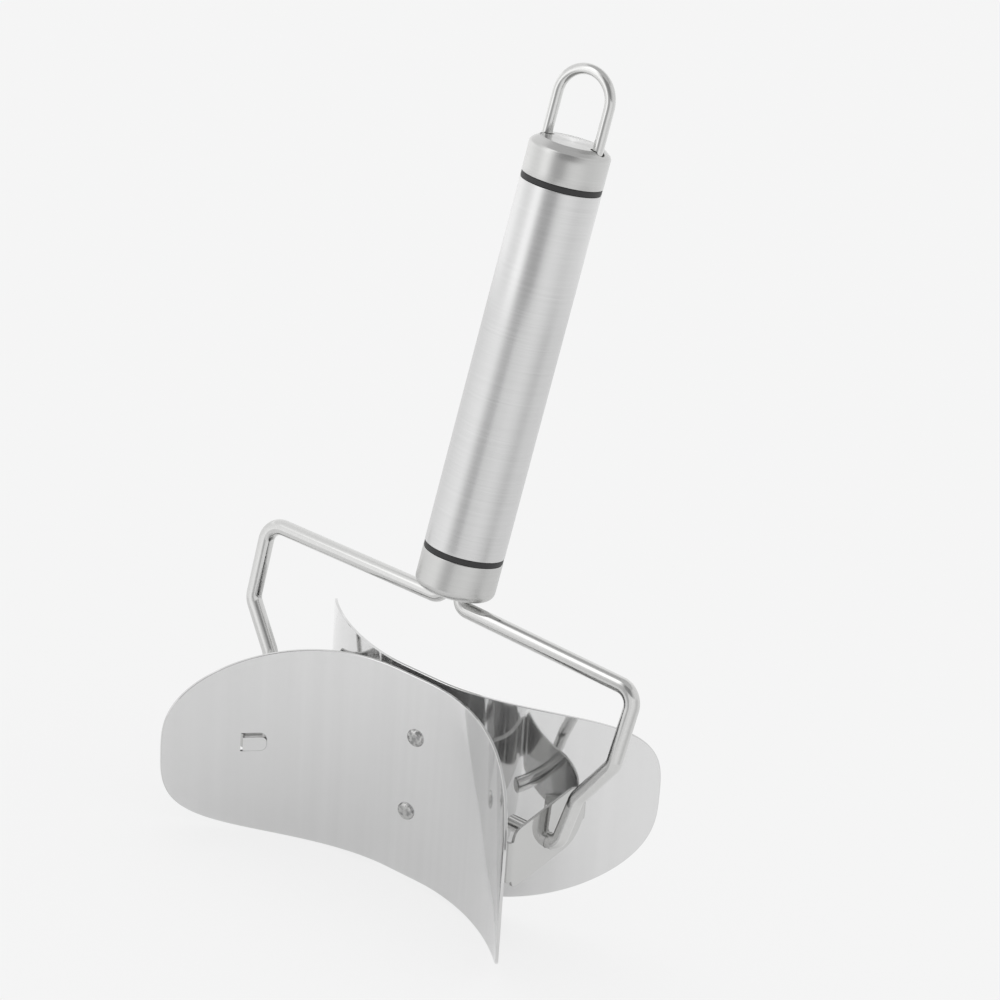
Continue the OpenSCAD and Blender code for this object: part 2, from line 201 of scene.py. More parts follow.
# Matt black nitrile rubber: a moulded skin that scatters nearly all it reflects.
RUBBER_GRAIN = 0.2 * MM
rubber, tree = blank("moulded_nitrile_rubber")
place = add(tree, "TexCoord")
grain = add(
    tree, "TexNoise",
    {"Scale": 1 / RUBBER_GRAIN, "Detail": 2.0},
    {"Vector": place.outputs["Object"]},
)
tone = add(tree, "ValToRGB", {}, {"Fac": grain.outputs["Fac"]})
tone.color_ramp.elements[0].color = linear("1b1b1c")
tone.color_ramp.elements[1].color = linear("2b2b2c")
pits = add(tree, "Bump", {"Strength": 0.3, "Distance": 0.02 * MM}, {"Height": grain.outputs["Fac"]})
surface = add(
    tree, "BsdfPrincipled",
    {"Roughness": 0.55, "IOR": 1.52},
    {"Base Color": tone.outputs["Color"], "Normal": pits.outputs["Normal"]},
)
add(tree, "OutputMaterial", {}, {"Surface": surface.outputs["BSDF"]})


def ring_section(bottom):
    """Half section of a ring that stands on a height, with soft outer edges."""
    top = bottom + RING_W
    return [
        (GRIP_BORE_R, top),
        (GRIP_BORE_R, bottom),
        *arc(RING_R - RING_SOFT, bottom + RING_SOFT, RING_SOFT, -90, 0, 5),
        *arc(RING_R - RING_SOFT, top - RING_SOFT, RING_SOFT, 0, 90, 5),
    ]


for name, node, bottom in (
    ("ring_low", "front_ring", -GRIP_END - RING_W),
    ("ring_high", "rear_ring", GRIP_END),
):
    keep(name, turned(name, ring_section(bottom)), "handle", "black_ring", rubber, node)

# Ferrule
# A solid stainless plug, turned and drilled for the two arm wires, pressed in the tube's lower end.
# Its lower edge is rounded over, and its face has the lathe's satin.
SEAT = 0.05
PLUG_R = GRIP_BORE_R - SEAT
PLUG_LEN = 12.0
ROUND_OVER = 2.4
FERRULE_LEN = 10.6
FERRULE_TOP = -GRIP_END - RING_W
FERRULE_LOW = FERRULE_TOP - FERRULE_LEN
PLUG_TOP = FERRULE_TOP + RING_W + PLUG_LEN
ARM_R = 2.2
SHANK_X = 3.0
TOOL_PAST = 1.0

# Satin stainless steel: fine turning lines, softer than the tube's brushing.
SATIN_LINE = 0.25 * MM
satin_steel, tree = blank("satin_turned_stainless_steel")
place = add(tree, "TexCoord")
lay = add(
    tree, "Mapping",
    {"Scale": (1 / BRUSH_RUN, 1 / BRUSH_RUN, 1 / SATIN_LINE)},
    {"Vector": place.outputs["Object"]},
)
lines = add(
    tree, "TexNoise",
    {"Scale": 1.0, "Detail": 2.0},
    {"Vector": lay.outputs["Vector"]},
)
tone = add(tree, "ValToRGB", {}, {"Fac": lines.outputs["Fac"]})
tone.color_ramp.elements[0].color = linear("c6c6c5")
tone.color_ramp.elements[1].color = linear("cfcfce")
grooves = add(tree, "Bump", {"Strength": 0.2, "Distance": 0.008 * MM}, {"Height": lines.outputs["Fac"]})
around = add(tree, "Tangent", {"direction_type": "RADIAL", "axis": "Z"})
surface = add(
    tree, "BsdfPrincipled",
    {"Metallic": 1.0, "Roughness": 0.24, "Anisotropic": 0.8, "Anisotropic Rotation": 0.0},
    {
        "Base Color": tone.outputs["Color"],
        "Normal": grooves.outputs["Normal"],
        "Tangent": around.outputs["Tangent"],
    },
)
add(tree, "OutputMaterial", {}, {"Surface": surface.outputs["BSDF"]})


def cut(mesh, tools):
    """The mesh with holes where the tool meshes stand."""
    solid = bpy.data.objects.new("cutting", mesh)
    bpy.context.scene.collection.objects.link(solid)
    helpers = []
    for tool in tools:
        helper = bpy.data.objects.new("tool", tool)
        bpy.context.scene.collection.objects.link(helper)
        helpers.append(helper)
        step = solid.modifiers.new("hole", "BOOLEAN")
        step.operation = "DIFFERENCE"
        step.solver = "EXACT"
        step.object = helper
    bpy.context.view_layer.update()
    seen = solid.evaluated_get(bpy.context.evaluated_depsgraph_get())
    result = bpy.data.meshes.new_from_object(seen)
    result.name = mesh.name + "_cut"
    for helper in [solid, *helpers]:
        bpy.data.objects.remove(helper)
    return result


def circle(radius, steps):
    """Points round a circle, from the first axis towards the second."""
    turns = np.linspace(0, 2 * math.pi, steps, endpoint=False)
    return [(radius * math.cos(a), radius * math.sin(a)) for a in turns]


def prism_sides(n):
    """Side faces between two outlines of n points each, listed one after the other."""
    return [(i, (i + 1) % n, (i + 1) % n + n, i + n) for i in range(n)]


def prism_faces(n):
    """Faces of a closed prism between two such outlines."""
    return [tuple(range(n)), tuple(range(n, 2 * n)), *prism_sides(n)]


def rod(x, radius, low, high, steps=64):
    """Closed round bar along the handle's axis, standing beside it at x."""
    ring = [(x + u, v) for u, v in circle(radius, steps)]
    vertices = [(*p, low) for p in ring] + [(*p, high) for p in ring]
    return filled("rod", vertices, prism_faces(steps))


ferrule_section = [
    (0.0, PLUG_TOP),
    (0.0, FERRULE_LOW),
    *arc(GRIP_R - ROUND_OVER, FERRULE_LOW + ROUND_OVER, ROUND_OVER, -90, 0, 14),
    *arc(GRIP_R - BROKEN_EDGE, FERRULE_TOP - BROKEN_EDGE, BROKEN_EDGE, 0, 90, 3),
    (PLUG_R, FERRULE_TOP),
    (PLUG_R, PLUG_TOP),
]
bores = [rod(x, ARM_R + SEAT, FERRULE_LOW - TOOL_PAST, PLUG_TOP + TOOL_PAST) for x in (-SHANK_X, SHANK_X)]
ferrule = cut(turned("ferrule", ferrule_section), bores)
ferrule.set_sharp_from_angle(angle=CREASE)
keep("ferrule", ferrule, "handle", "satin_steel", satin_steel, "front_ferrule")

# End cap
# A solid stainless cap, turned with a sloping shoulder and a recess, pressed in the tube's upper end.
# Two pockets are milled through its lip where the loop's legs go down.
CAP_LEN = 10.2
CAP_LOW = GRIP_END + RING_W
CAP_TOP = CAP_LOW + CAP_LEN
CAP_PLUG_LOW = CAP_LOW - RING_W - PLUG_LEN
SHOULDER_H = 1.9
SHOULDER_SWELL = 0.25
SHOULDER_FALL = 0.2
LIP_R = 8.7
LIP_BREAK = 0.05
DISC_R = 8.4
DISC_T = 1.1
LOOP_X = 8.1
LOOP_R = 1.5
POCKET_R = 2.0
LEG_SEAT = 7.0
LEG_LOW = CAP_TOP - DISC_T - LEG_SEAT

shoulder = []
for t in np.linspace(0, 1, 9):
    swell = SHOULDER_SWELL * math.sin(math.pi * t) * (1 - t)
    shoulder.append((GRIP_R + (LIP_R - GRIP_R) * t, CAP_TOP - SHOULDER_H * (1 - t) + swell))
shoulder[0] = (GRIP_R, CAP_TOP - SHOULDER_H - SHOULDER_FALL)
cap_section = [
    (0.0, CAP_TOP - DISC_T),
    (0.0, CAP_PLUG_LOW),
    (PLUG_R, CAP_PLUG_LOW),
    (PLUG_R, CAP_LOW),
    *arc(GRIP_R - BROKEN_EDGE, CAP_LOW + BROKEN_EDGE, BROKEN_EDGE, -90, 0, 3),
    *shoulder,
    (DISC_R + SEAT, CAP_TOP - LIP_BREAK),
    (DISC_R + SEAT, CAP_TOP - DISC_T),
]
pockets = [rod(x, POCKET_R, CAP_TOP - DISC_T, CAP_TOP + TOOL_PAST) for x in (-LOOP_X, LOOP_X)]
pockets += [rod(x, LOOP_R + SEAT, LEG_LOW, CAP_TOP) for x in (-LOOP_X, LOOP_X)]
cap = cut(turned("cap", cap_section), pockets)
cap.set_sharp_from_angle(angle=CREASE)
keep("cap", cap, "handle", "satin_steel", satin_steel, "end_cap")

# Cap disc
# A stainless disc, turned flat, that closes the cap's recess.
# It is pressed in, and is notched at both sides for the loop's legs.
disc_section = [
    (0.0, CAP_TOP),
    (0.0, CAP_TOP - DISC_T),
    (DISC_R, CAP_TOP - DISC_T),
    *arc(DISC_R - BROKEN_EDGE, CAP_TOP - BROKEN_EDGE, BROKEN_EDGE, 0, 90, 4),
]
notches = [rod(x, POCKET_R, CAP_TOP - DISC_T - TOOL_PAST, CAP_TOP + TOOL_PAST) for x in (-LOOP_X, LOOP_X)]
disc = cut(turned("disc", disc_section), notches)
disc.set_sharp_from_angle(angle=CREASE)
keep("disc", disc, "handle", "satin_steel", satin_steel, "cap_disc")

# Hanging loop
# One length of stainless wire, 3 mm thick, bent to a hairpin and let into the cap.
# It was drawn and polished, so it mirrors the tent in long narrow bands.
LOOP_RISE = 20.9
CROWN_Z = CAP_TOP + LOOP_RISE - LOOP_R - LOOP_X
WIRE_CHAMFER = 0.3

# Polished stainless wire: near mirror, with faint drawing marks and a slight orange peel.
WIRE_MARK = 0.6 * MM
polished_wire, tree = blank("polished_stainless_wire")
place = add(tree, "TexCoord")
marks = add(
    tree, "TexNoise",
    {"Scale": 1 / WIRE_MARK, "Detail": 2.0},
    {"Vector": place.outputs["Object"]},
)
tone = add(tree, "ValToRGB", {}, {"Fac": marks.outputs["Fac"]})
tone.color_ramp.elements[0].color = linear("cdcdcc")
tone.color_ramp.elements[1].color = linear("dadad9")
gloss = add(
    tree, "MapRange",
    {"From Min": 0.3, "From Max": 0.7, "To Min": 0.1, "To Max": 0.16},
    {"Value": marks.outputs["Fac"]},
)
peel = add(tree, "Bump", {"Strength": 0.1, "Distance": 0.01 * MM}, {"Height": marks.outputs["Fac"]})
surface = add(
    tree, "BsdfPrincipled",
    {"Metallic": 1.0},
    {
        "Base Color": tone.outputs["Color"],
        "Roughness": gloss.outputs["Result"],
        "Normal": peel.outputs["Normal"],
    },
)
add(tree, "OutputMaterial", {}, {"Surface": surface.outputs["BSDF"]})


def wire(name, line, radius, steps=40):
    """Round wire along a centre line in the XZ plane, its cut ends broken."""
    along = np.gradient(line, axis=0)
    along /= np.linalg.norm(along, axis=1)[:, None]
    first, last = along[0], along[-1]
    spots = [
        (line[0], first, radius - WIRE_CHAMFER),
        (line[0] + first * WIRE_CHAMFER, first, radius),
        *[(p, t, radius) for p, t in zip(line[1:-1], along[1:-1])],
        (line[-1] - last * WIRE_CHAMFER, last, radius),
        (line[-1], last, radius - WIRE_CHAMFER),
    ]
    vertices = []
    for p, t, r in spots:
        vertices += [(p[0] - t[1] * u, v, p[1] + t[0] * u) for u, v in circle(r, steps)]
    end = len(spots) - 1
    faces = [tuple(range(steps)), tuple(range(end * steps, (end + 1) * steps))]
    for i in range(end):
        for j in range(steps):
            k = (j + 1) % steps
            faces.append((i * steps + j, i * steps + k, (i + 1) * steps + k, (i + 1) * steps + j))
    return filled(name, vertices, faces)


crown = [(LOOP_X * math.cos(a), CROWN_Z + LOOP_X * math.sin(a)) for a in np.linspace(0, math.pi, 49)]
hairpin = np.array([(LOOP_X, LEG_LOW), *crown, (-LOOP_X, LEG_LOW)])
keep("loop", wire("loop", hairpin, LOOP_R), "handle", "polished_wire", polished_wire, "hanging_loop")

# Wire arms
# Two lengths of stainless wire, 4.4 mm thick, each bent five times and pressed up into the ferrule.
# Their turned-in ends are the axle that the head spins on, each in the hole of a bracket's plate.
RUN_DROP = 3.0
RUN_Z = FERRULE_LOW - RUN_DROP
ELBOW_H = 27.0
ELBOW_IN = 0.7
KNEE_H = 14.0
TIGHT_BEND = 3.0
EASY_BEND = 5.0
PLATE_X = 45.7
BRACKET_T = 0.8
END_PLAY = 1.9
STUB_INSIDE = 10.4
axle = Vector(frame["joints"][0]["pos_m"])
axle_z = axle.z / MM


def bent(corners, radii, steps=14):
    """Centre line through corners (x, z) in mm, each one rounded to its radius."""
    corners = [np.array(c, float) for c in corners]
    line = [corners[0]]
    for before, corner, after, radius in zip(corners, corners[1:], corners[2:], radii):
        u = (before - corner) / np.linalg.norm(before - corner)
        v = (after - corner) / np.linalg.norm(after - corner)
        half = math.acos(u @ v) / 2
        middle = (u + v) / np.linalg.norm(u + v)
        centre = corner + middle * radius / math.sin(half)
        x, z = corner + u * radius / math.tan(half) - centre
        sweep = math.pi - 2 * half
        if u[0] * v[1] - u[1] * v[0] > 0:
            sweep = -sweep
        for a in np.linspace(0, sweep, steps + 1):
            turned_x = x * math.cos(a) - z * math.sin(a)
            turned_z = x * math.sin(a) + z * math.cos(a)
            line.append(centre + np.array([turned_x, turned_z]))
    line.append(corners[-1])
    return np.array(line)


def arm_line(low, droop, reach, knee_out):
    """Centre line of an arm from its shank to its stub, as the right one lies."""
    stub_turn = math.pi / 2 - math.atan2(knee_out, KNEE_H)
    stub_x = PLATE_X + BRACKET_T / 2 + END_PLAY + TIGHT_BEND * math.tan(stub_turn / 2)
    corners = [
        (SHANK_X, PLUG_TOP),
        (SHANK_X, RUN_Z - low),
        (reach, RUN_Z - low - droop),
        (reach - ELBOW_IN, axle_z + ELBOW_H),
        (stub_x + knee_out, axle_z + KNEE_H),
        (stub_x, axle_z),
        (PLATE_X - BRACKET_T / 2 - STUB_INSIDE, axle_z),
    ]
    return bent(corners, [TIGHT_BEND, EASY_BEND, EASY_BEND, EASY_BEND, TIGHT_BEND])


right_line = arm_line(low=0.5, droop=1.4, reach=61.0, knee_out=1.8)
left_line = arm_line(low=0.0, droop=0.7, reach=61.9, knee_out=0.0) * np.array([-1, 1])
for name, node, line in (("arm_right", "right_arm", right_line), ("arm_left", "left_arm", left_line)):
    keep(name, wire(name, line, ARM_R), "handle", "polished_wire", polished_wire, node)

# Blades
# Two blades of stainless sheet, 0.8 mm thick, bowed away from each other and riveted back to back.
# Their rims are the cutting edges; a stamped window near one end of each takes the far bracket's lug.
# Each blade is given as its half length and where its middle lies, and is built as the rear one lies.
FRONT = (57.0, 0.0)
REAR = (55.5, 1.1)
REAR_TURNED = (REAR[0], -REAR[1])
BLADE_T = 0.8
SHEET_GAP = 0.05
WAIST_Y = SHEET_GAP / 2 + BRACKET_T + SHEET_GAP + BLADE_T / 2
WAIST_REACH = 32.8
TIP_REACH = 36.9
LATE_BOW = 0.18
SQUARENESS = 3.1
LAND = 5.0
RIM_BREAK = 0.12
WINDOW_X = 41.0
WINDOW_Z = 0.7
WINDOW_W = 7.2
WINDOW_H = 6.0
WINDOW_TOOL = 2.0
HEAD_ROLL = math.radians(19)
HEAD_SHIFT = 1.5
on_axle = Matrix.Translation(axle + Vector((HEAD_SHIFT * MM, 0, 0))) @ Matrix.Rotation(HEAD_ROLL, 4, "X")
half_turn = Matrix.Rotation(math.pi, 4, "Z")

# Sheared edges are greyer and duller than the faces, by a share that each facet carries.
# The ground rims are nearly bright, and the window's sides are as the punch left them.
# A facet is an edge when it leans more than 26 degrees from the face, a cosine under 0.9,
# and it is on the rim when the outline's formula gives it over 0.97, where the rim itself has 1.
SHEARED_GREY = "747473"
SHEARED_ROUGH = 0.25
FACE_COS = 0.9
RIM_FROM = 0.97
RIM_DULL = 0.16
WINDOW_DULL = 1.0
BRACKET_DULL = 0.4
STREAK = 3.0 * MM
STREAK_RUN = 120 * MM
WAVE = 30 * MM


def sheet_steel(name, dark, pale, smooth, rough):
    """Rolled stainless sheet between two tones and two roughnesses."""
    steel, tree = blank(name)
    place = add(tree, "TexCoord")
    lay = add(
        tree, "Mapping",
        {"Scale": (1 / STREAK, 1 / STREAK_RUN, 1 / STREAK_RUN)},
        {"Vector": place.outputs["Object"]},
    )
    streaks = add(
        tree, "TexNoise",
        {"Scale": 1.0, "Detail": 3.0},
        {"Vector": lay.outputs["Vector"]},
    )
    tone = add(tree, "ValToRGB", {}, {"Fac": streaks.outputs["Fac"]})
    tone.color_ramp.elements[0].position = 0.3
    tone.color_ramp.elements[0].color = linear(dark)
    tone.color_ramp.elements[1].position = 0.7
    tone.color_ramp.elements[1].color = linear(pale)
    gloss = add(
        tree, "MapRange",
        {"From Min": 0.3, "From Max": 0.7, "To Min": smooth, "To Max": rough},
        {"Value": streaks.outputs["Fac"]},
    )
    waves = add(
        tree, "TexNoise",
        {"Scale": 1 / WAVE, "Detail": 0.0},
        {"Vector": place.outputs["Object"]},
    )
    dents = add(tree, "Bump", {"Strength": 0.2, "Distance": 0.2 * MM}, {"Height": waves.outputs["Fac"]})
    sheared = add(tree, "Attribute", {"attribute_type": "GEOMETRY", "attribute_name": "sheared"})
    faced = add(
        tree, "MixRGB",
        {"Color2": linear(SHEARED_GREY)},
        {"Fac": sheared.outputs["Fac"], "Color1": tone.outputs["Color"]},
    )
    dulled = add(
        tree, "Math", {"operation": "MULTIPLY_ADD", 1: SHEARED_ROUGH},
        {0: sheared.outputs["Fac"], 2: gloss.outputs["Result"]},
    )
    surface = add(
        tree, "BsdfPrincipled",
        {"Metallic": 0.9},
        {
            "Base Color": faced.outputs["Color"],
            "Roughness": dulled.outputs["Value"],
            "Normal": dents.outputs["Normal"],
        },
    )
    add(tree, "OutputMaterial", {}, {"Surface": surface.outputs["BSDF"]})
    return steel


# Polished stainless sheet: a bright rolled face with faint rolling streaks up the blade,
# a slight waviness over 30 mm left by the bending rolls, and greyer edges where it is sheared.
polished_sheet = sheet_steel("polished_stainless_sheet", "e3e3e3", "e6e6e6", 0.06, 0.07)


def bow_share(x, blade):
    """How far x is from a blade's flat land to its tip, from 0 to 1."""
    half, middle = blade
    return max(0, abs(x - middle) - LAND) / (half - LAND)


def bow(x, blade):
    """Distance of a blade's middle surface from the axle's plane, in mm."""
    s = bow_share(x, blade)
    return WAIST_Y + (TIP_REACH - WAIST_Y) * ((1 - LATE_BOW) * s ** 2 + LATE_BOW * s ** 4)


def bow_normal(x, blade):
    """Direction square to a blade at x, away from the axle."""
    half, middle = blade
    s = bow_share(x, blade)
    rate = (TIP_REACH - WAIST_Y) / (half - LAND)
    slope = math.copysign(rate * (2 * (1 - LATE_BOW) * s + 4 * LATE_BOW * s ** 3), x - middle)
    return np.array([-slope, 1, 0]) / math.hypot(slope, 1)


def merged(vertices, faces, near=1e-6):
    """The faces without corners that fall on the one before, and without those left as lines."""
    kept = []
    for face in faces:
        spots = []
        for i in face:
            if not spots or np.linalg.norm(vertices[i] - vertices[spots[-1]]) > near:
                spots.append(i)
        if np.linalg.norm(vertices[spots[0]] - vertices[spots[-1]]) < near:
            spots.pop()
        if len(spots) > 2:
            kept.append(tuple(spots))
    return kept


def sheet_mesh(name, grid, edge, normal, thickness, bevel):
    """Closed sheet round a grid of middle points; edge is the same grid's full outline."""
    n, m = len(grid), len(grid[0])
    border = [(i, 0) for i in range(n)]
    border += [(n - 1, j) for j in range(1, m)]
    border += [(i, m - 1) for i in range(n - 2, -1, -1)]
    border += [(0, j) for j in range(m - 2, 0, -1)]
    vertices = []
    for side in (1, -1):
        vertices += [grid[i][j] + normal[i][j] * side * thickness / 2 for i in range(n) for j in range(m)]
    for side in (1, -1):
        vertices += [edge[i][j] + normal[i][j] * side * (thickness / 2 - bevel) for i, j in border]
    faces = []
    for base in (0, n * m):
        for i in range(n - 1):
            for j in range(m - 1):
                a = base + i * m + j
                faces.append((a, a + 1, a + m + 1, a + m))
    top, low = 2 * n * m, 2 * n * m + len(border)
    for k in range(len(border)):
        after = (k + 1) % len(border)
        a = border[k][0] * m + border[k][1]
        b = border[after][0] * m + border[after][1]
        faces.append((a, b, top + after, top + k))
        faces.append((top + k, top + after, low + after, low + k))
        faces.append((low + k, low + after, n * m + b, n * m + a))
    return filled(name, vertices, merged(vertices, faces))


def smooth_sheet(mesh, square_to, dullness):
    """Gives both faces of a bowed sheet the true surface's normals; its edges stay flat and duller."""
    normals = [None] * len(mesh.loops)
    sheared = mesh.attributes.new("sheared", "FLOAT", "FACE")
    for face in mesh.polygons:
        face.use_smooth = True
        flat = np.array(face.normal)
        middle = np.array(face.center) / MM
        side = flat @ square_to(middle)
        on_face = abs(side) > FACE_COS
        sheared.data[face.index].value = 0.0 if on_face else dullness(middle)
        for i in face.loop_indices:
            if on_face:
                spot = np.array(mesh.vertices[mesh.loops[i].vertex_index].co) / MM
                normals[i] = tuple(square_to(spot) * math.copysign(1, side))
            else:
                normals[i] = tuple(flat)
    mesh.normals_split_custom_set(normals)


def window_outline(width, height, steps=10):
    """Outline of the window, square towards the tip and round towards the waist."""
    nose = height / 3
    points = [(width / 2, -height / 2), (width / 2, height / 2)]
    for z, start in ((height / 2 - nose, 90), (nose - height / 2, 180)):
        points += arc(-width / 2 + nose, z, nose, start, start + 90, steps)
    return points


def window_prism(name, outline, blade, low, high, shift=(0, 0)):
    """Closed block on that outline, standing square to a blade at its window."""
    across = bow_normal(WINDOW_X, blade)
    along = np.array([across[1], -across[0], 0])
    up = np.array([0, 0, 1])
    middle = np.array([WINDOW_X, bow(WINDOW_X, blade), WINDOW_Z])
    vertices = []
    for depth in (low, high):
        for x, z in outline:
            vertices.append(middle + along * (x + shift[0]) + up * (z + shift[1]) + across * depth)
    return filled(name, vertices, prism_faces(len(outline)))


def rim_power(value, power):
    """A power that keeps the value's sign, for the blade's squarish outline."""
    return math.copysign(abs(value) ** power, value)


def blade_mesh(name, blade, columns=240, rows=4):
    """A blade with its window, bowed and trimmed to its outline."""
    half, middle = blade
    inset_x = 1 - RIM_BREAK / half
    inset_z = 1 - RIM_BREAK / WAIST_REACH
    levels = np.linspace(-1, 1, rows + 1)
    grid, edge, normal = [], [], []
    for turn in np.linspace(0, math.pi, columns + 1):
        x = half * rim_power(math.cos(turn), 2 / SQUARENESS)
        z = WAIST_REACH * rim_power(max(0, math.sin(turn)), 2 / SQUARENESS)
        near, far = middle + x * inset_x, middle + x
        grid.append([np.array([near, bow(near, blade), z * inset_z * v]) for v in levels])
        edge.append([np.array([far, bow(far, blade), z * v]) for v in levels])
        normal.append([bow_normal(far, blade)] * (rows + 1))
    sheet = sheet_mesh(name, grid, edge, normal, BLADE_T, RIM_BREAK)
    outline = window_outline(WINDOW_W, WINDOW_H)
    sheet = cut(sheet, [window_prism("window", outline, blade, -WINDOW_TOOL, WINDOW_TOOL)])

    def dullness(p):
        """Dullness of an edge facet at p: the rim's or the window's."""
        out = abs((p[0] - middle) / half) ** SQUARENESS + abs(p[2] / WAIST_REACH) ** SQUARENESS
        return RIM_DULL if out > RIM_FROM else WINDOW_DULL

    smooth_sheet(sheet, lambda p: bow_normal(p[0], blade), dullness)
    return sheet


for name, node, blade, turn in (
    ("blade_rear", "rear_blade", REAR, Matrix()),
    ("blade_front", "front_blade", FRONT, half_turn),
):
    sheet = blade_mesh(name, blade)
    sheet.transform(on_axle @ turn)
    keep(name, sheet, "head", "polished_sheet", polished_sheet, node)

# Brackets
# Two brackets bent from 0.8 mm stainless strip: a leg riveted behind one blade, a plate across the
# axle, and a narrow foot along the far blade, whose lug is bent into that blade's window.
BEND_R = 1.6
LEG_HALF = 17.2
LEG_OVER = 7.0
PLATE_TOP = 11.4
PLATE_LOW = -7.6
NEAR_CORNER_R = 3.0
FAR_CORNER_R = 8.0
TONGUE_HALF = 3.0
FOOT_X = 36.0
AXLE_PLAY = 0.08
HOLE_TOOL = 4.0
INSET = BLADE_T / 2 + SHEET_GAP + BRACKET_T / 2

# The lug fills the window but for a gap at its top and one at its square side.
LUG_SIDE_GAP = 0.6
LUG_TOP_GAP = 1.6
lug_outline = window_outline(WINDOW_W - LUG_SIDE_GAP - 2 * SEAT, WINDOW_H - LUG_TOP_GAP - 2 * SEAT)
lug_shift = (-LUG_SIDE_GAP / 2, -LUG_TOP_GAP / 2)
lug_depth = (-BLADE_T / 2 - BRACKET_T / 2, BLADE_T / 2)

# The foot is notched over its lug, so the window shows a dark bar above the lug.
notch_z = WINDOW_H / 2 - LUG_TOP_GAP + SEAT
notch_outline = [
    (-WINDOW_W / 3, notch_z), (WINDOW_W / 2, notch_z),
    (WINDOW_W / 2, WINDOW_H), (-WINDOW_W / 3, WINDOW_H),
]
notch_depth = (-INSET - BRACKET_T, -INSET + BRACKET_T)

# Stainless sheet as smooth as the blades' sheet, with a greyer base that is painted shade: it stands in for
# the shaded floor close under the tool that the brackets reflect.
painted_shade_sheet = sheet_steel("stainless_sheet_painted_shade", "c6c6c5", "cbcbca", 0.06, 0.08)


def bend_start(blade):
    """Where a bracket's bend leaves a blade to end at the plate, and how far the plate then runs."""
    x = PLATE_X
    # Each round comes closer, and nine settle it to well under a micron.
    for _ in range(9):
        x = PLATE_X - BEND_R + (INSET + BEND_R) * bow_normal(x, blade)[0]
    return x, bow(x, blade) - (INSET + BEND_R) * bow_normal(x, blade)[1]


def behind(x, blade):
    """Middle line of a sheet that lies behind a blade at x."""
    inward = bow_normal(x, blade)
    return np.array([x - INSET * inward[0], bow(x, blade) - INSET * inward[1]])


def bracket_heights(x, y, near_run, far_run):
    """Lowest and highest point of the bracket where its middle line passes (x, y)."""
    spans = []
    if y < 0:
        share = min(1, max(0, (abs(x) - LEG_OVER) / (PLATE_X - 2 * BEND_R - LEG_OVER)))
        spans.append((
            -LEG_HALF + (LEG_HALF + PLATE_LOW + NEAR_CORNER_R) * share,
            LEG_HALF + (PLATE_TOP - NEAR_CORNER_R - LEG_HALF) * share,
        ))
    if abs(x - PLATE_X) < 2 * BRACKET_T and -near_run <= y <= far_run:
        run, radius = (near_run, NEAR_CORNER_R) if y < 0 else (far_run, FAR_CORNER_R)
        past = max(0, abs(y) - (run - radius))
        drop = radius - math.sqrt(max(0, radius ** 2 - past ** 2))
        spans.append((PLATE_LOW + drop, PLATE_TOP - drop))
    if y > far_run - FAR_CORNER_R:
        spans.append((WINDOW_Z - TONGUE_HALF, WINDOW_Z + TONGUE_HALF))
    return min(s[0] for s in spans), max(s[1] for s in spans)


def bend(blade, run):
    """Middle line of the bend between a sheet behind a blade and the plate."""
    x, _ = bend_start(blade)
    inward = -bow_normal(x, blade)
    start = math.atan2(inward[1], inward[0])
    turns = np.linspace(start, 0, 13)[1:]
    return [np.array([PLATE_X - BEND_R + BEND_R * math.cos(a), run + BEND_R * -math.sin(a)]) for a in turns]


def bracket_line(near, far):
    """Middle line of a bracket, from its leg on the near blade to its foot on the far one."""
    flip = np.array([1, -1])
    near_x, near_run = bend_start(near)
    far_x, far_run = bend_start(far)
    land = near[1] + LAND
    points = [np.array([x, INSET - WAIST_Y]) for x in np.linspace(-LEG_OVER, land, 5)]
    points += [behind(x, near) * flip for x in np.linspace(land, near_x, 40)[1:]]
    points += [p * flip for p in bend(near, near_run)]
    points += [np.array([PLATE_X, y]) for y in np.linspace(-near_run, far_run, 60)[1:-1]]
    points += bend(far, far_run)[::-1]
    points += [behind(x, far) for x in np.linspace(far_x, FOOT_X, 8)]
    return np.array(points), near_run, far_run


def across_axle(x, radius, length, steps=64):
    """Closed round bar along X at the axle."""
    ring = circle(radius, steps)
    vertices = [(x - length / 2, *p) for p in ring] + [(x + length / 2, *p) for p in ring]
    return filled("bar", vertices, prism_faces(steps))


def bracket_mesh(name, near, far, rows=9):
    """A bracket bent from one strip, with the hole that runs on the axle."""
    line, near_run, far_run = bracket_line(near, far)
    lead = np.gradient(line, axis=0)
    lead /= np.linalg.norm(lead, axis=1)[:, None]
    grid, edge, normal = [], [], []
    for i, ((x, y), (u, v)) in enumerate(zip(line, lead)):
        low, high = bracket_heights(x, y, near_run, far_run)
        ends = RIM_BREAK * (1 if i == 0 else -1 if i == len(line) - 1 else 0)
        full = np.linspace(low, high, rows)
        inner = np.linspace(low + RIM_BREAK, high - RIM_BREAK, rows)
        grid.append([np.array([x + u * ends, y + v * ends, z]) for z in inner])
        edge.append([np.array([x, y, z]) for z in full])
        normal.append([np.array([-v, u, 0])] * rows)

    def square_to(p):
        """Direction square to the bracket's sheet, at the point of its middle line nearest p."""
        gaps = np.linalg.norm(line - np.array(p[:2]), axis=1)
        i = int(np.argmin(gaps))
        j = i + 1 if i == 0 or (i < len(line) - 1 and gaps[i + 1] < gaps[i - 1]) else i - 1
        share = gaps[j] / max(1e-9, gaps[i] + gaps[j])
        u, v = lead[i] * share + lead[j] * (1 - share)
        return np.array([-v, u, 0]) / math.hypot(u, v)

    sheet = sheet_mesh(name, grid, edge, normal, BRACKET_T, RIM_BREAK)
    hole = across_axle(PLATE_X, ARM_R + AXLE_PLAY, HOLE_TOOL)
    notch = window_prism("notch", notch_outline, far, *notch_depth)
    sheet = cut(sheet, [hole, notch])
    smooth_sheet(sheet, square_to, lambda p: BRACKET_DULL)
    return sheet


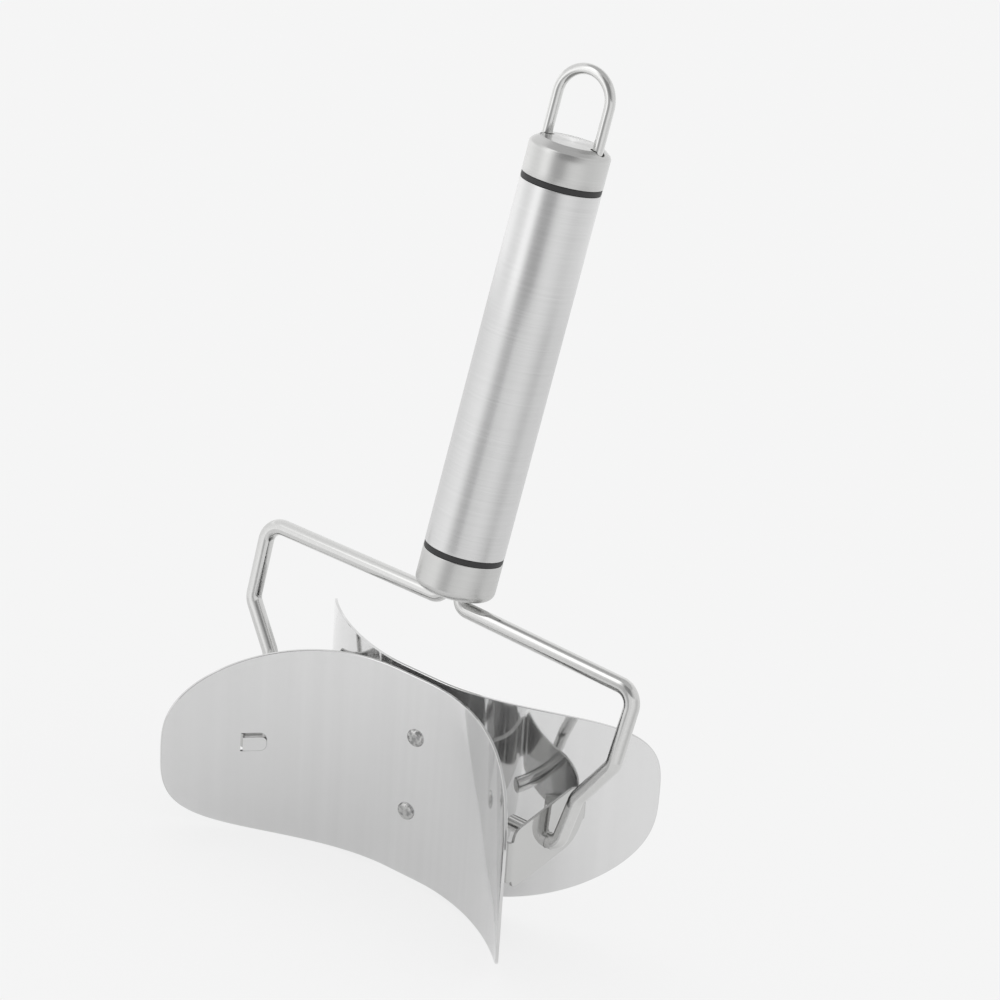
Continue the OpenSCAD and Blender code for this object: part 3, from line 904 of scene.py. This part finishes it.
for side, near, far, turn in (
    ("right", FRONT, REAR, Matrix()),
    ("left", REAR_TURNED, FRONT, half_turn),
):
    bracket = bracket_mesh("bracket_" + side, near, far)
    bracket.transform(on_axle @ turn)
    # The brackets take the sheet whose greyer base is painted shade.
    keep("bracket_" + side, bracket, "head", "polished_sheet", painted_shade_sheet, side + "_bracket")
    lug = window_prism("lug_" + side, lug_outline, far, *lug_depth, lug_shift)
    lug.transform(on_axle @ turn)
    keep("lug_" + side, lug, "head", "polished_sheet", polished_sheet)

# Rivets
# Two stainless rivets through blades and brackets, one above the axle and one below it.
# Both ends of each are hammered to round buttons that stand a millimetre proud.
RIVET_R = 1.5
RIVET_HEAD_R = 2.6
RIVET_HEAD_H = 1.1
HEAD_FULL = 0.55
HEAD_FLAT = 0.9
RIVET_STEP = 12.5
RIVET_LEAN = math.radians(4)
RIVET_MIDDLE = (1.4, 1.2)
STACK_HALF = WAIST_Y + BLADE_T / 2

# Peened stainless: the wire's steel, hammered dull, so its buttons look darker than the sheet.
PEEN_MARK = 1.3 * MM
peened_steel, tree = blank("peened_stainless_steel")
place = add(tree, "TexCoord")
blows = add(
    tree, "TexNoise",
    {"Scale": 1 / PEEN_MARK, "Detail": 1.0},
    {"Vector": place.outputs["Object"]},
)
tone = add(tree, "ValToRGB", {}, {"Fac": blows.outputs["Fac"]})
tone.color_ramp.elements[0].position = 0.35
tone.color_ramp.elements[0].color = linear("9c9c9c")
tone.color_ramp.elements[1].position = 0.6
tone.color_ramp.elements[1].color = linear("c8c8c7")
facets = add(tree, "Bump", {"Strength": 0.8, "Distance": 0.5 * MM}, {"Height": blows.outputs["Fac"]})
surface = add(
    tree, "BsdfPrincipled",
    {"Metallic": 1.0, "Roughness": 0.14},
    {"Base Color": tone.outputs["Color"], "Normal": facets.outputs["Normal"]},
)
add(tree, "OutputMaterial", {}, {"Surface": surface.outputs["BSDF"]})

upper_half = [(RIVET_R, STACK_HALF)]
for a in np.radians(np.linspace(0, 90, 17)):
    out = max(RIVET_HEAD_R * math.cos(a) ** HEAD_FULL, 0.0)
    upper_half.append((out, STACK_HALF + RIVET_HEAD_H * math.sin(a) ** HEAD_FLAT))
rivet_section = upper_half[::-1] + [(r, -z) for r, z in upper_half]

for name, step, nodes in (("rivet_1", RIVET_STEP, ["waist_rivets"]), ("rivet_2", -RIVET_STEP, [])):
    middle_x, middle_z = RIVET_MIDDLE
    x = middle_x + step * math.sin(RIVET_LEAN)
    z = middle_z + step * math.cos(RIVET_LEAN)
    rivet = turned(name, rivet_section, 64)
    across = Matrix.Rotation(math.pi / 2, 4, "X")
    rivet.transform(on_axle @ Matrix.Translation(Vector((x, 0, z)) * MM) @ across)
    keep(name, rivet, "head", "polished_wire", peened_steel, *nodes)

# Floor
# White paper that runs out of sight, just under the lowest point of the tool.
# It glows a little to the camera and in reflections, as evenly lit paper does.
FLOOR_REACH = 30000 * MM
FLOOR_GAP = 0.5 * MM
SEEN_GLOW = 0.85
MIRRORED_GLOW = 0.3
lowest = cad_box[0].z


def square(reach, height):
    """Corners of a level square round the handle's axis, in metres."""
    sides = ((-1, -1), (1, -1), (1, 1), (-1, 1))
    return [(x * reach, y * reach, height) for x, y in sides]


paper, tree = blank("white_studio_paper")
path = add(tree, "LightPath")
lit = add(tree, "BsdfDiffuse", {"Color": linear("f0f0f0")})
glow = add(tree, "Emission", {"Color": linear("f6f6f6"), "Strength": 1.0})
mirrored = add(
    tree, "Math", {"operation": "MULTIPLY", 1: MIRRORED_GLOW},
    {0: path.outputs["Is Glossy Ray"]},
)
share = add(
    tree, "Math", {"operation": "MULTIPLY_ADD", 1: SEEN_GLOW},
    {0: path.outputs["Is Camera Ray"], 2: mirrored.outputs["Value"]},
)
both = add(
    tree, "MixShader", {},
    {0: share.outputs["Value"], 1: lit.outputs["BSDF"], 2: glow.outputs["Emission"]},
)
add(tree, "OutputMaterial", {}, {"Surface": both.outputs["Shader"]})

floor_mesh = bpy.data.meshes.new("floor")
floor_mesh.from_pydata(square(FLOOR_REACH, 0), [], [(0, 1, 2, 3)])
floor_mesh.materials.append(paper)
floor = bpy.data.objects.new("floor", floor_mesh)
floor.location.z = lowest - FLOOR_GAP
bpy.context.scene.collection.objects.link(floor)

# Tent
# Glowing cloth walls and a lid that only reflections see, so they add no light to the floor.
# Their tones are (bearing in degrees, strength), darker where the photograph's highlights end.
# The near wall rises to the middle of the grip, and each wall's top fades into the one above it.
NEAR_WALL_R = 200 * MM
FAR_WALL_R = 600 * MM
NEAR_WALL_TOP = 4 * MM
NEAR_WALL_SLANT = -0.2
LOW_WALL_TOP = 200 * MM
TENT_TOP = 850 * MM
TENT_GAP = 0.4 * MM
TENT_LOW = lowest - TENT_GAP
FADE = 30 * MM
near_tones = [
    (-180, 0.94), (-170, 0.96), (-150, 1.03), (-134, 1.08), (-120, 1.13), (-110, 1.15), (-104, 1.0),
    (-98, 0.84), (-92, 0.66), (-85, 0.58), (-71, 0.52), (-69, 0.88), (-48, 0.9), (-31, 0.98), (-14, 0.92),
    (-1, 0.8), (10, 0.7), (18, 0.7), (28, 0.82), (40, 0.87), (63, 0.87), (120, 0.9), (180, 0.94),
]
low_tones = [
    (-180, 1.3), (-172, 1.2), (-150, 1.0), (-134, 1.05), (-122, 1.4), (-108, 1.4), (-99, 0.75),
    (-90, 0.52), (-71, 0.46), (-62, 0.56), (-55, 0.85), (-36, 1.02), (-14, 0.95), (0, 0.85), (14, 0.85),
    (28, 0.9), (47, 0.95), (69, 1.0), (115, 1.1), (180, 1.3),
]
high_tones = [
    (-180, 0.95), (-148, 0.95), (-134, 1.1), (-127, 1.6), (-112, 1.6), (-104, 1.1), (-92, 0.5),
    (-85, 0.32), (-42, 0.32), (-30, 0.6), (0, 0.85), (60, 0.9), (120, 1.0), (150, 1.0), (180, 0.95),
]


def unseen(name, points, faces, cloth):
    """A sheet of the tent, which lights nothing and shows only in reflections."""
    mesh = bpy.data.meshes.new(name)
    mesh.from_pydata(points, [], faces)
    mesh.materials.append(cloth)
    sheet = bpy.data.objects.new(name, mesh)
    bpy.context.scene.collection.objects.link(sheet)
    sheet.visible_camera = False
    sheet.visible_diffuse = False
    sheet.visible_shadow = False
    sheet.visible_transmission = False


def tone_ring(tree, tones, bearing):
    """Ramp of the tones round the tool, at half strength so that it can pass 1."""
    ramp = add(tree, "ValToRGB", {}, {"Fac": bearing})
    stops = ramp.color_ramp.elements
    while len(stops) > 1:
        stops.remove(stops[0])
    for i, (degrees, strength) in enumerate(tones):
        spot = degrees / 360 + 0.5
        stop = stops[0] if i == 0 else stops.new(spot)
        stop.position = spot
        stop.color = (strength / 2, strength / 2, strength / 2, 1)
    return ramp.outputs["Color"]


def surround(name, radius, low, high, tones, above, slant=0.0, steps=72):
    """Round wall of the tent; its top fades into the tones of the wall that shows above it."""
    ring = circle(radius, steps)
    points = [(*p, low) for p in ring] + [(*p, high) for p in ring]
    cloth, tree = blank(name + "_cloth")
    place = add(tree, "TexCoord")
    bearing = add(tree, "TexGradient", {"gradient_type": "RADIAL"}, {"Vector": place.outputs["Object"]})
    height = add(tree, "SeparateXYZ", {}, {"Vector": place.outputs["Object"]})
    leaning = add(
        tree, "Math", {"operation": "MULTIPLY_ADD", 1: slant},
        {0: height.outputs["Z"], 2: bearing.outputs["Fac"]},
    )
    rise = add(
        tree, "MapRange", {"From Min": high - FADE, "From Max": high},
        {"Value": height.outputs["Z"]},
    )
    blend = add(
        tree, "MixRGB", {},
        {
            "Fac": rise.outputs["Result"],
            "Color1": tone_ring(tree, tones, leaning.outputs["Value"]),
            "Color2": tone_ring(tree, above, bearing.outputs["Fac"]),
        },
    )
    glow = add(tree, "Emission", {"Strength": 2.0}, {"Color": blend.outputs["Color"]})
    add(tree, "OutputMaterial", {}, {"Surface": glow.outputs["Emission"]})
    unseen(name, points, prism_sides(steps), cloth)


surround("near_wall", NEAR_WALL_R, TENT_LOW, NEAR_WALL_TOP, near_tones, low_tones, NEAR_WALL_SLANT)
surround("low_wall", FAR_WALL_R, TENT_LOW, LOW_WALL_TOP, low_tones, high_tones)
surround("high_wall", FAR_WALL_R, LOW_WALL_TOP, TENT_TOP, high_tones, high_tones)

cloth, tree = blank("lid_cloth")
glow = add(tree, "Emission", {"Color": linear("cdcdcd"), "Strength": 1.0})
add(tree, "OutputMaterial", {}, {"Surface": glow.outputs["Emission"]})
unseen("lid", square(FAR_WALL_R, TENT_TOP), [(0, 1, 2, 3)], cloth)

world = bpy.data.worlds.new("tent")
bpy.context.scene.world = world
world.use_nodes = True
tree = world.node_tree
tree.nodes.clear()
tent = add(tree, "Background", {"Color": linear("ffffff"), "Strength": 1.0})
add(tree, "OutputWorld", {}, {"Surface": tent.outputs["Background"]})

# Camera
# The photograph's view: from the right, a little above, with the tool leaning in the frame.
# Its place is in mm from the middle of the grip tube.
CAMERA_PLACE = Vector((515.56, -891.14, 245.74))
LENS = 144.66
SENSOR = 36.0
right = Vector((0.8056, 0.5381, 0.2480))
down = Vector((0.3495, -0.0936, -0.9323))
away = Vector((-0.4784, 0.8377, -0.2635))
camera_data = bpy.data.cameras.new("camera")
camera_data.sensor_width = SENSOR
camera_data.lens = LENS
camera_data.clip_start = 0.05
camera_data.clip_end = 100
camera = bpy.data.objects.new("camera", camera_data)
bpy.context.scene.collection.objects.link(camera)
turn = Matrix((right, -down, -away)).transposed().to_4x4()
camera.matrix_world = Matrix.Translation(CAMERA_PLACE * MM) @ turn
bpy.context.scene.camera = camera
bpy.context.scene.view_settings.view_transform = "Standard"
